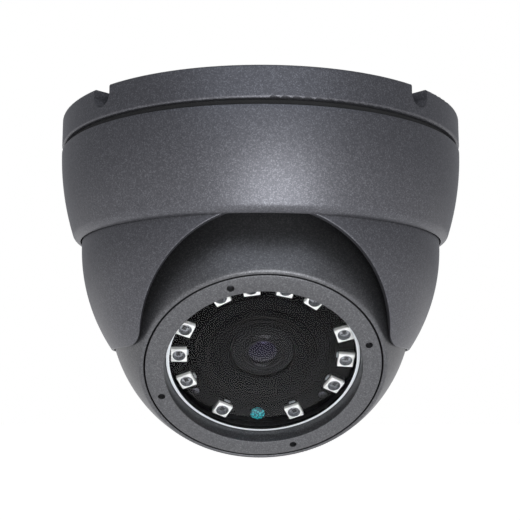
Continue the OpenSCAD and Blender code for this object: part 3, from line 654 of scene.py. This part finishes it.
# Black ink over copper: a dull sheen, faintly uneven where tracks lie beneath.
black_mask, tree = blank("black_solder_mask_on_glass_epoxy")
place = add(tree, "ShaderNodeTexCoord").outputs["Object"]
weave = add(tree, "ShaderNodeTexNoise", {"Scale": 1 / MASK_GRAIN, "Detail": 3}, {"Vector": place})
tone = add(tree, "ShaderNodeValToRGB", {"ramp": [(0.35, "#050506"), (0.7, "#0b0b0d")]},
           {"Fac": weave.outputs["Fac"]})
bump = add(tree, "ShaderNodeBump", {"Strength": 0.2, "Distance": 0.03 * MM}, {"Height": weave.outputs["Fac"]})
shader = add(tree, "ShaderNodeBsdfPrincipled", {"Roughness": 0.6, "IOR": 1.5, "Specular IOR Level": 0.01},
             {"Base Color": tone.outputs["Color"], "Normal": bump.outputs["Normal"]})
add(tree, "ShaderNodeOutputMaterial", None, {"Surface": shader.outputs["BSDF"]})
coat(black_mask, "led_board")


# ---- Infrared lamps ------------------------------------------------------------------------
# Twelve square surface-mount lamps: a white ceramic body with a silvered cup, a dark chip
# in the cup, and a bright fillet of solder at each end.
LED_W = 3.5
CUP_R = 1.42
CUP_DEEP = 0.75
CUP_TAPER = 0.72
CUT_LIFT = 0.002
SLUG_H = 0.8
SLUG_INSET = 0.2
LED_EDGE = 0.12
DIE = (0.9, 0.9, 0.16)
DIE_PLACE = (0.1, 0.05)
BOND_R = 0.16
BOND_H = 0.12
BOND_PLACE = (-0.62, -0.35)
FILLET = (0.45, 1.5, 0.5)
FILLET_EDGE = 0.18
FILLET_OUT = 0.16
FILLET_SHIFT = 0.3
LED_CIRCLE = 18.4
LED_ANGLES = [11.5, 33, 69, 92, 116, 153.5]  # Degrees from the top of the board, down each side.
CERAMIC_GRAIN = 0.5 * MM

# Sintered alumina: warm white and matt, with a grain that barely shows.
ceramic, tree = blank("sintered_white_ceramic")
place = add(tree, "ShaderNodeTexCoord").outputs["Object"]
grain = add(tree, "ShaderNodeTexNoise", {"Scale": 1 / CERAMIC_GRAIN, "Detail": 2}, {"Vector": place})
tone = add(tree, "ShaderNodeValToRGB", {"ramp": [(0.3, "#f2f2ef"), (0.7, "#fdfdfb")]},
           {"Fac": grain.outputs["Fac"]})
shader = add(tree, "ShaderNodeBsdfPrincipled", {"Roughness": 0.5, "IOR": 1.7},
             {"Base Color": tone.outputs["Color"]})
add(tree, "ShaderNodeOutputMaterial", None, {"Surface": shader.outputs["BSDF"]})

# Silver plate under clear resin: grey, with soft bright patches.
silver_cup, tree = blank("silvered_cup_under_resin")
place = add(tree, "ShaderNodeTexCoord").outputs["Object"]
ripple = add(tree, "ShaderNodeTexNoise", {"Scale": 1 / CERAMIC_GRAIN, "Detail": 2}, {"Vector": place})
tone = add(tree, "ShaderNodeValToRGB", {"ramp": [(0.3, "#6c6e73"), (0.7, "#a0a2a6")]},
           {"Fac": ripple.outputs["Fac"]})
bump = add(tree, "ShaderNodeBump", {"Strength": 0.3, "Distance": 0.05 * MM},
           {"Height": ripple.outputs["Fac"]})
shader = add(tree, "ShaderNodeBsdfPrincipled", {"Metallic": 0.8, "Roughness": 0.3, "Coat Weight": 0.5},
             {"Base Color": tone.outputs["Color"], "Normal": bump.outputs["Normal"]})
add(tree, "ShaderNodeOutputMaterial", None, {"Surface": shader.outputs["BSDF"]})

# Epoxy and silicon: dark grey with a slight gloss.
chip_epoxy, tree = blank("moulded_chip_epoxy")
place = add(tree, "ShaderNodeTexCoord").outputs["Object"]
grain = add(tree, "ShaderNodeTexNoise", {"Scale": 1 / CERAMIC_GRAIN, "Detail": 3}, {"Vector": place})
tone = add(tree, "ShaderNodeValToRGB", {"ramp": [(0.3, "#17181b"), (0.7, "#222327")]},
           {"Fac": grain.outputs["Fac"]})
shader = add(tree, "ShaderNodeBsdfPrincipled", {"Roughness": 0.4, "IOR": 1.55},
             {"Base Color": tone.outputs["Color"]})
add(tree, "ShaderNodeOutputMaterial", None, {"Surface": shader.outputs["BSDF"]})
coat(chip_epoxy, "processor", "image_sensor")


def block(size, x=0, y=0, z=0):
    """A box in millimetres that stands on the level z."""
    bpy.ops.object.select_all(action="DESELECT")
    bpy.ops.mesh.primitive_cube_add(size=1, location=Vector((x, y, z + size[2] / 2)) * MM)
    made = bpy.context.object
    made.scale = Vector(size) * MM
    bpy.ops.object.transform_apply(location=True, rotation=True, scale=True)
    return made


def soften(obj, width, segments=2):
    """Rounds a piece's sharp edges."""
    only(obj)
    step = obj.modifiers.new("soften", "BEVEL")
    step.width = width * MM
    step.segments = segments
    step.limit_method = "ANGLE"
    bpy.ops.object.modifier_apply(modifier="soften")


led_h = span("ir_leds")[3] - board_top
cup_low = led_h - CUP_DEEP
body = block((LED_W, LED_W, led_h - SLUG_H), 0, 0, SLUG_H)
soften(body, LED_EDGE)
bpy.ops.object.select_all(action="DESELECT")
bpy.ops.mesh.primitive_cone_add(vertices=40, radius1=CUP_R * CUP_TAPER * MM, radius2=CUP_R * MM,
                                depth=CUP_DEEP * MM, location=(0, 0, (led_h - CUP_DEEP / 2 + CUT_LIFT) * MM))
carve(body, "DIFFERENCE", [bpy.context.object])
body.data.materials.append(ceramic)
body.data.materials.append(silver_cup)
for face in body.data.polygons:
    middle = face.center / MM
    if math.hypot(middle.x, middle.y) < CUP_R and cup_low - LED_EDGE < middle.z < led_h - CUT_LIFT:
        face.material_index = 1
slug = block((LED_W - SLUG_INSET, LED_W - SLUG_INSET, SLUG_H))
slug.data.materials.append(chip_epoxy)
die = block(DIE, *DIE_PLACE, cup_low)
die.data.materials.append(chip_epoxy)
bond = rod(BOND_R, cup_low, cup_low + BOND_H, *BOND_PLACE, 16)
bond.data.materials.append(chip_epoxy)
fillets = [block(FILLET, s * (LED_W / 2 + FILLET_OUT), FILLET_SHIFT) for s in (-1, 1)]
for fillet in fillets:
    soften(fillet, FILLET_EDGE, 3)
    fillet.data.materials.append(zinc_plate)
only(body, slug, die, bond, *fillets)
bpy.ops.object.join()
for number, angle in enumerate([s * a for a in LED_ANGLES for s in (-1, 1)], 1):
    lamp = body.copy()
    lamp.data = body.data.copy()
    lamp.name = lamp.data.name = f"infrared_lamp_{number:02d}"
    bpy.context.scene.collection.objects.link(lamp)
    seat = (ball_frame @ Matrix.Rotation(math.radians(90 + angle), 4, "Z")
            @ Matrix.Translation(Vector((LED_CIRCLE, 0, board_top)) * MM))
    settle(lamp, "eyeball", ["ir_leds"], None, seat)
bpy.data.objects.remove(body)


# ---- Light sensor --------------------------------------------------------------------------
# A small round photocell under a low dome of blue-green resin, at the bottom of the
# board. It tells the camera when to switch its lamps on.
FACET = 0.6 * MM
EYE_R = 1.6
EYE_BODY = 0.5
EYE_DOME = 4

# Tinted clear epoxy: a glossy teal, with light teal dots painted on as highlights and darker teal between
# them.
teal_epoxy, tree = blank("tinted_clear_epoxy")
place = add(tree, "ShaderNodeTexCoord").outputs["Object"]
highlight_dots = add(tree, "ShaderNodeTexVoronoi", {"Scale": 1 / FACET}, {"Vector": place})
tone = add(tree, "ShaderNodeValToRGB", {"ramp": [(0.25, "#2fbfc6"), (0.6, "#075460")]},
           {"Fac": highlight_dots.outputs["Distance"]})
shader = add(tree, "ShaderNodeBsdfPrincipled", {"Roughness": 0.12, "IOR": 1.5},
             {"Base Color": tone.outputs["Color"]})
add(tree, "ShaderNodeOutputMaterial", None, {"Surface": shader.outputs["BSDF"]})

dome_start = math.acos(EYE_R / EYE_DOME)
dome_centre = EYE_BODY - EYE_DOME * math.sin(dome_start)
eye = turned("light_sensor_dome", [
    (0, 0), (EYE_R, 0), (EYE_R, EYE_BODY),
    *arc(0, dome_centre, EYE_DOME, math.degrees(dome_start), 90, 10)[1:]], steps=48)
eye_seat = ball_frame @ Matrix.Translation(Vector((0, -LED_CIRCLE, board_top)) * MM)
settle(eye, "eyeball", ["light_sensor"], teal_epoxy, eye_seat)


# ---- Board screws --------------------------------------------------------------------------
# Two tiny blackened steel screws with crossed slots, cold headed, that hold the light board
# to the front casting's ledge.
OXIDE_GRAIN = 0.3 * MM
SHANK_R = 0.6
SHANK_L = 2.7
SHANK_EDGE = 0.1
HEAD_R = 1
HEAD_SIDE = 0.3
HEAD_TOP = 0.62
DOME_IN = 0.28
DOME_UP = 0.3
DOME_TURNS = (0.4, 0.8, 1.2, 1.57)
SLOT_W = 0.22
SLOT_L = 1.2

# Black oxide on steel: dark grey, with a clear metal gloss on the dome.
black_oxide, tree = blank("black_oxide_steel")
place = add(tree, "ShaderNodeTexCoord").outputs["Object"]
grain = add(tree, "ShaderNodeTexNoise", {"Scale": 1 / OXIDE_GRAIN, "Detail": 3}, {"Vector": place})
tone = add(tree, "ShaderNodeValToRGB", {"ramp": [(0.3, "#3c3c42"), (0.7, "#5a5a61")]},
           {"Fac": grain.outputs["Fac"]})
shader = add(tree, "ShaderNodeBsdfPrincipled", {"Metallic": 1.0, "Roughness": 0.22},
             {"Base Color": tone.outputs["Color"]})
add(tree, "ShaderNodeOutputMaterial", None, {"Surface": shader.outputs["BSDF"]})

screw = turned("board_screw", [
    (0, -SHANK_L), (SHANK_R - SHANK_EDGE, -SHANK_L), (SHANK_R, SHANK_EDGE - SHANK_L), (SHANK_R, 0),
    (HEAD_R, 0), (HEAD_R, HEAD_SIDE),
    *[(HEAD_R - DOME_IN * (1 - math.cos(t)), HEAD_SIDE + DOME_UP * math.sin(t)) for t in DOME_TURNS],
    (0, HEAD_TOP)], steps=40)
carve(screw, "DIFFERENCE", [block((SLOT_L, SLOT_W, 1), 0, 0, HEAD_SIDE)])
carve(screw, "DIFFERENCE", [block((SLOT_W, SLOT_L, 1), 0, 0, HEAD_SIDE)])
for number, side_sign in enumerate((-1, 1), 1):
    each = screw.copy()
    each.data = screw.data.copy()
    each.name = each.data.name = f"board_screw_{number}"
    bpy.context.scene.collection.objects.link(each)
    seat = (ball_frame @ Matrix.Rotation(math.pi / 2 + side_sign * TINY_ANGLE, 4, "Z")
            @ Matrix.Translation(Vector((TINY_CIRCLE, 0, board_top)) * MM))
    settle(each, "eyeball", ["board_screws"], black_oxide, seat)
bpy.data.objects.remove(screw)


# ---- Lens shroud ---------------------------------------------------------------------------
# A raised disc of matt black plastic that keeps the lamps' light out of the lens, with a
# skirt outside and two shallow moulded rings round its bore.
SPARK_GRAIN = 0.3 * MM
SKIRT = 2.6
SHROUD_WALL = 1.5
DISC_ROUND = 0.4
# Outlines as (outward, up) in millimetres: the skirt from its foot, the step from the disc's
# foot, the disc's face from its edge, and the moulded rings from the bore's top.
SKIRT_OUTLINE = [(0, 0), (0, 0.35), (-0.15, 0.5)]
STEP_OUTLINE = [(0.25, 0.68), (0, 0.85)]
FACE_OUTLINE = [(-1.1, 0), (-1.25, -0.12)]
RINGS_OUTLINE = [(2.7, -0.5), (2.55, -0.42), (2.3, -0.42), (2.15, -0.55), (0.5, -0.9), (0.15, -0.9),
                 (0, -1.05)]

# Spark-eroded ABS: deep grey-black and matt, with a fine even grain.
black_abs, tree = blank("moulded_black_abs")
place = add(tree, "ShaderNodeTexCoord").outputs["Object"]
grain = add(tree, "ShaderNodeTexNoise", {"Scale": 1 / SPARK_GRAIN, "Detail": 3}, {"Vector": place})
tone = add(tree, "ShaderNodeValToRGB", {"ramp": [(0.3, "#060608"), (0.7, "#0b0b0d")]},
           {"Fac": grain.outputs["Fac"]})
bump = add(tree, "ShaderNodeBump", {"Strength": 0.3, "Distance": 0.03 * MM}, {"Height": grain.outputs["Fac"]})
shader = add(tree, "ShaderNodeBsdfPrincipled", {"Roughness": 0.38, "IOR": 1.52, "Specular IOR Level": 0.03},
             {"Base Color": tone.outputs["Color"], "Normal": bump.outputs["Normal"]})
add(tree, "ShaderNodeOutputMaterial", None, {"Surface": shader.outputs["BSDF"]})

shroud_out, bore, shroud_low, shroud_top = span("lens_shroud")
disc_r = shroud_out - SKIRT
inner_r = disc_r - SHROUD_WALL - CLOSE_FIT
shroud = turned("lens_shroud_moulding", [
    (bore, shroud_low), (inner_r, shroud_low), (inner_r, board_top),
    *[(shroud_out + x, board_top + z) for x, z in SKIRT_OUTLINE],
    *[(disc_r + x, board_top + z) for x, z in STEP_OUTLINE],
    *arc(disc_r - DISC_ROUND, shroud_top - DISC_ROUND, DISC_ROUND, 0, 90, 5),
    *[(disc_r + x, shroud_top + z) for x, z in FACE_OUTLINE],
    *[(bore + x, shroud_top + z) for x, z in RINGS_OUTLINE]], steps=160)
settle(shroud, "eyeball", ["lens_shroud"], black_abs, ball_frame)


# ---- Lens ----------------------------------------------------------------------------------
# A small threaded lens: a black barrel whose head is turned in fine steps, a domed front
# glass with a purple coating, and a rear glass. A lock ring fixes it in its holder.
RIM_R = 4.1
THREAD_R = 6
THREAD_ROOT = 5.75
THREAD_PITCH = 0.5
THREAD_START = 0.3
HEAD_H = 6.4
HEAD_EDGE = 0.15
BARREL_BORE = 4.4
BARREL_BORE_DEEP = 3
STOP_LEDGE = 1
GLASS_R = 3.2
GLASS_DEEP = 2.4
DOME_H = 0.9
# The head's shoulder from its side, the steps from the rim, and the bore's edge from the
# glass, as (outward, up) from the head's top in millimetres.
SHOULDER_OUTLINE = [(0, -1), (-0.2, -0.8)]
RIM_OUTLINE = [(1.3, -0.62), (1.2, -0.7), (0.9, -0.68), (0.4, -0.5), (0.12, -0.12), (-0.05, 0), (-0.35, 0)]
BORE_OUTLINE = [(0.15, -0.28), (0, -0.3)]
TURNING = 0.35 * MM

# Black anodised aluminium, turned: a dark satin metal with the fine grain of tool marks.
black_anodise, tree = blank("black_anodised_aluminium")
place = add(tree, "ShaderNodeTexCoord").outputs["Object"]
marks = add(tree, "ShaderNodeTexNoise", {"Scale": 1 / TURNING, "Detail": 3}, {"Vector": place})
tone = add(tree, "ShaderNodeValToRGB", {"ramp": [(0.3, "#0b0b0d"), (0.7, "#141417")]},
           {"Fac": marks.outputs["Fac"]})
shader = add(tree, "ShaderNodeBsdfPrincipled",
             {"Metallic": 0.6, "Roughness": 0.35, "Specular IOR Level": 0.2},
             {"Base Color": tone.outputs["Color"]})
add(tree, "ShaderNodeOutputMaterial", None, {"Surface": shader.outputs["BSDF"]})

# Multi-coated optical glass over a black interior: nearly black, with a violet gloss.
lens_coating, tree = blank("violet_coated_lens_glass")
place = add(tree, "ShaderNodeTexCoord").outputs["Object"]
wipe = add(tree, "ShaderNodeTexNoise", {"Scale": 1 / BLOOM, "Detail": 2}, {"Vector": place})
tone = add(tree, "ShaderNodeValToRGB", {"ramp": [(0.3, "#060509"), (0.7, "#0c0a12")]},
           {"Fac": wipe.outputs["Fac"]})
shader = add(tree, "ShaderNodeBsdfPrincipled",
             {"Roughness": 0.02, "IOR": 1.6, "Specular Tint": srgb("#7d7599")},
             {"Base Color": tone.outputs["Color"]})
add(tree, "ShaderNodeOutputMaterial", None, {"Surface": shader.outputs["BSDF"]})

lens_r, _, lens_low, head_top = span("lens_barrel")
_, _, glass_seat, lens_peak = span("front_element")
stop_r = GLASS_R - STOP_LEDGE
head_low = head_top - HEAD_H
thread_low = lens_low + THREAD_START
ridges = int((head_low - lens_low - 2 * THREAD_START) / THREAD_PITCH)
thread = [point for i in range(ridges) for point in
          ((THREAD_R, thread_low + i * THREAD_PITCH), (THREAD_ROOT, thread_low + (i + 0.5) * THREAD_PITCH))]
barrel = turned("lens_barrel_turning", [
    (BARREL_BORE, lens_low), (THREAD_ROOT, lens_low), *thread, (THREAD_R, head_low),
    (lens_r - HEAD_EDGE, head_low), (lens_r, head_low + HEAD_EDGE),
    *[(lens_r + x, head_top + z) for x, z in SHOULDER_OUTLINE],
    *[(RIM_R + x, head_top + z) for x, z in RIM_OUTLINE],
    *[(GLASS_R + x, head_top + z) for x, z in BORE_OUTLINE],
    (GLASS_R, head_top - GLASS_DEEP), (stop_r, head_top - GLASS_DEEP),
    (stop_r, lens_low + BARREL_BORE_DEEP), (BARREL_BORE, lens_low + BARREL_BORE_DEEP)], steps=96)
settle(barrel, "eyeball", ["lens_barrel"], black_anodise, ball_frame, crease=35)

dome_r = (GLASS_R ** 2 + DOME_H ** 2) / (2 * DOME_H)
front_glass = turned("lens_front_glass", [
    (0, glass_seat), (GLASS_R - GLASS_EDGE, glass_seat), (GLASS_R, glass_seat + GLASS_EDGE),
    *arc(0, lens_peak - dome_r, dome_r, math.degrees(math.acos(GLASS_R / dome_r)), 90, 16)], steps=96)
settle(front_glass, "eyeball", ["front_element"], lens_coating, ball_frame)
coat(lens_coating, "rear_element")
coat(black_anodise, "lens_lock_ring")
coat(black_abs, "lens_holder")


# ---- Sensor board and what it carries ------------------------------------------------------
# Behind the lens, out of sight: the filter and the image sensor, the green board that
# four plated pillars carry, its processor, and the lead to the lamps with its sockets.
WEAVE = 0.5 * MM
PVC_FLOW = 2 * MM

# Green solder mask on glass epoxy: a clear gloss with the cloth's weave faint beneath.
green_mask, tree = blank("green_solder_mask_on_glass_epoxy")
place = add(tree, "ShaderNodeTexCoord").outputs["Object"]
weave = add(tree, "ShaderNodeTexChecker", {"Scale": 1 / WEAVE}, {"Vector": place})
tone = add(tree, "ShaderNodeMix", {"data_type": "RGBA", 6: srgb("#1c5533"), 7: srgb("#22633c")},
           {0: weave.outputs["Fac"]})
shader = add(tree, "ShaderNodeBsdfPrincipled", {"Roughness": 0.35, "IOR": 1.5},
             {"Base Color": tone.outputs[2]})
add(tree, "ShaderNodeOutputMaterial", None, {"Surface": shader.outputs["BSDF"]})
coat(green_mask, "sensor_board")

# Nickel and flash gold on brass: a pale yellow metal with the fine grain of tool marks.
gold_flash, tree = blank("gold_flashed_brass")
place = add(tree, "ShaderNodeTexCoord").outputs["Object"]
marks = add(tree, "ShaderNodeTexNoise", {"Scale": 1 / TURNING, "Detail": 3}, {"Vector": place})
tone = add(tree, "ShaderNodeValToRGB", {"ramp": [(0.3, "#bf9c44"), (0.7, "#d8b965")]},
           {"Fac": marks.outputs["Fac"]})
shader = add(tree, "ShaderNodeBsdfPrincipled", {"Metallic": 1.0, "Roughness": 0.25},
             {"Base Color": tone.outputs["Color"]})
add(tree, "ShaderNodeOutputMaterial", None, {"Surface": shader.outputs["BSDF"]})
coat(gold_flash, "pillars")

# Natural nylon: creamy and waxy.
cream_nylon, tree = blank("natural_nylon")
place = add(tree, "ShaderNodeTexCoord").outputs["Object"]
flow = add(tree, "ShaderNodeTexNoise", {"Scale": 1 / FLOW, "Detail": 3}, {"Vector": place})
tone = add(tree, "ShaderNodeValToRGB", {"ramp": [(0.3, "#ddd6c4"), (0.7, "#ece6d6")]},
           {"Fac": flow.outputs["Fac"]})
shader = add(tree, "ShaderNodeBsdfPrincipled", {"Roughness": 0.45, "IOR": 1.53, "Subsurface Weight": 0.1},
             {"Base Color": tone.outputs["Color"]})
add(tree, "ShaderNodeOutputMaterial", None, {"Surface": shader.outputs["BSDF"]})
coat(cream_nylon, "board_sockets")

# PVC insulation, extruded: an even red with a soft gloss.
red_pvc, tree = blank("extruded_red_pvc")
place = add(tree, "ShaderNodeTexCoord").outputs["Object"]
flow = add(tree, "ShaderNodeTexNoise", {"Scale": 1 / PVC_FLOW, "Detail": 2}, {"Vector": place})
tone = add(tree, "ShaderNodeValToRGB", {"ramp": [(0.3, "#a3241b"), (0.7, "#b92e22")]},
           {"Fac": flow.outputs["Fac"]})
shader = add(tree, "ShaderNodeBsdfPrincipled", {"Roughness": 0.4, "IOR": 1.53},
             {"Base Color": tone.outputs["Color"]})
add(tree, "ShaderNodeOutputMaterial", None, {"Surface": shader.outputs["BSDF"]})
coat(red_pvc, "led_lead")

# Coated filter glass: a cyan cast with a pink gloss, very slightly uneven.
filter_glass, tree = blank("infrared_cut_filter_glass")
place = add(tree, "ShaderNodeTexCoord").outputs["Object"]
coating = add(tree, "ShaderNodeTexNoise", {"Scale": 1 / BLOOM, "Detail": 2}, {"Vector": place})
tone = add(tree, "ShaderNodeValToRGB", {"ramp": [(0.3, "#86b3ab"), (0.7, "#9cc6be")]},
           {"Fac": coating.outputs["Fac"]})
shader = add(tree, "ShaderNodeBsdfPrincipled",
             {"Roughness": 0.03, "IOR": 1.52, "Transmission Weight": 0.8, "Specular Tint": srgb("#ffd6e6")},
             {"Base Color": tone.outputs["Color"]})
add(tree, "ShaderNodeOutputMaterial", None, {"Surface": shader.outputs["BSDF"]})
coat(filter_glass, "ir_filter")
